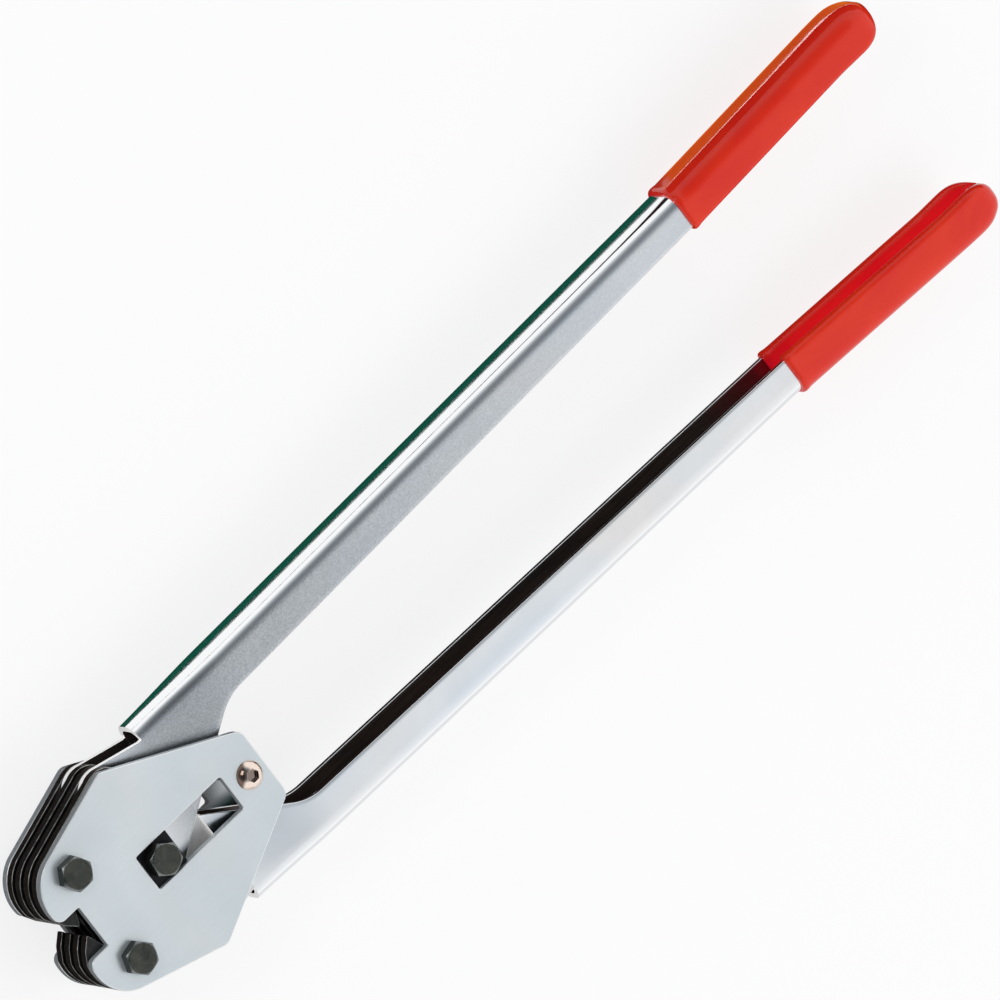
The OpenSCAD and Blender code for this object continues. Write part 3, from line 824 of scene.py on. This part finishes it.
def floor_in_mirrors(t):
    """Painted reflections: what the metal and vinyl mirror of the floor, which the camera sees pale: dark
    near the tool, coloured beside the upper web.
    """
    place = t.add("ShaderNodeNewGeometry").outputs["Position"]
    x, y = t.parts(place)[:2]
    off = t.minus(y, t.plus(BAND_Y, t.times(x, BAND_RISE)))
    across = t.span(off, 0.0, BAND_WIDTH)
    beside_steel = t.ramp(across, [(0.0, (0.002, 0.045, 0.028)), (0.238, (0.006, 0.085, 0.055)),
                                   (0.247, (0.004, 0.006, 0.006)), (0.262, (0.004, 0.006, 0.006)),
                                   (0.270, (1.0, 1.0, 1.0))])
    beside_grip = t.ramp(across, [(0.0, (1.0, 0.34, 0.03)), (0.36, (1.0, 0.38, 0.04)),
                                  (0.42, (0.02, 0.01, 0.01))])
    # painted highlight: a bright strip that the grips mirror as a thin line
    strip = t.times(t.span(off, 15.4 * MM, 15.6 * MM), t.span(off, 17.2 * MM, 16.8 * MM))
    beside_grip = t.mix(strip, beside_grip, (5.0, 5.0, 5.0))
    beside = t.mix(t.span(x, 397 * MM, 402 * MM), beside_steel, beside_grip)
    past_head = t.span(x, 58 * MM, 66 * MM)
    above = t.times(past_head, t.span(off, -4 * MM, 0.0), clamp=True)
    below = t.times(past_head, t.span(y, -30 * MM, -40 * MM), clamp=True)
    tone = t.mix(above, (0.014, 0.010, 0.009), beside)
    return t.mix(below, tone, (0.80, 0.81, 0.82))


def floor_material():
    """Pale to the camera, with soft shadows; toned in reflections."""
    m, t = material("floor")
    ray = t.add("ShaderNodeLightPath").outputs
    mirrored = t.add("ShaderNodeEmission", {"Color": floor_in_mirrors(t), "Strength": 1.0}).outputs[0]
    bounce = t.add("ShaderNodeEmission", {"Color": (0.42, 0.43, 0.45), "Strength": 1.0}).outputs[0]
    shade = t.add("ShaderNodeBsdfDiffuse", {"Color": (0.93, 0.93, 0.93)}).outputs[0]
    white = t.add("ShaderNodeEmission", {"Color": (1.0, 1.0, 1.0), "Strength": 1.04}).outputs[0]
    seen = t.add("ShaderNodeMixShader", {0: 0.24, 1: white, 2: shade}).outputs[0]
    other = t.add("ShaderNodeMixShader", {0: ray["Is Glossy Ray"], 1: bounce, 2: mirrored}).outputs[0]
    both = t.add("ShaderNodeMixShader", {0: ray["Is Camera Ray"], 1: other, 2: seen}).outputs[0]
    t.output("ShaderNodeOutputMaterial", both)
    return m


def make_floor():
    """Floor plane under the lowest bolt."""
    bm = bmesh.new()
    bmesh.ops.create_grid(bm, x_segments=8, y_segments=8, size=40.0)
    o = new_piece("floor", bm, [floor_material()])
    o.location = (0.2, 0, cad_box[0].z)


def make_world():
    """White studio with a dark disc round the camera, which the bends and bolts mirror."""
    world = bpy.data.worlds.new("studio")
    world.use_nodes = True
    bpy.context.scene.world = world
    t = Tree(world.node_tree)
    way = t.add("ShaderNodeTexCoord").outputs["Generated"]
    towards = t.add("ShaderNodeVectorMath", {0: way, 1: camera_axes()[2]}, operation="DOT_PRODUCT")
    sky = t.ramp(t.span(towards.outputs["Value"], -1.0, 1.0),
                 [(0.0, (1.0, 1.0, 1.0)), (0.785, (1.0, 1.0, 1.0)), (0.84, (0.58, 0.61, 0.63)),
                  (0.89, (0.26, 0.28, 0.30)), (0.94, (0.13, 0.14, 0.15)), (1.0, (0.11, 0.12, 0.13))])
    above_horizon = t.span(t.parts(way)[2], 0.02, 0.05)
    sky = t.mix(above_horizon, (0.95, 0.95, 0.95), sky)
    background = t.add("ShaderNodeBackground", {"Color": sky, "Strength": 1.0})
    t.output("ShaderNodeOutputWorld", background.outputs[0])


def area(name, at, size, power, in_mirrors):
    """Rectangular soft light turned to the middle of the tool; place and size in metres, power in watts."""
    data = bpy.data.lights.new(name, "AREA")
    data.shape = "RECTANGLE"
    data.size, data.size_y = size
    data.energy = power
    o = bpy.data.objects.new(name, data)
    o.location = at
    o.rotation_mode = "QUATERNION"
    o.rotation_quaternion = (Vector((0.25, 0, 0)) - Vector(at)).to_track_quat("-Z", "Y")
    o.visible_glossy = in_mirrors
    bpy.context.scene.collection.objects.link(o)


make_world()
make_floor()
make_camera()
bpy.context.scene.view_settings.view_transform = "Standard"
area("key", (-0.69, 1.24, 1.26), (0.8, 0.45), 6.0, in_mirrors=True)
area("fill", (0.9, -0.9, 1.2), (1.0, 0.8), 5.0, in_mirrors=False)
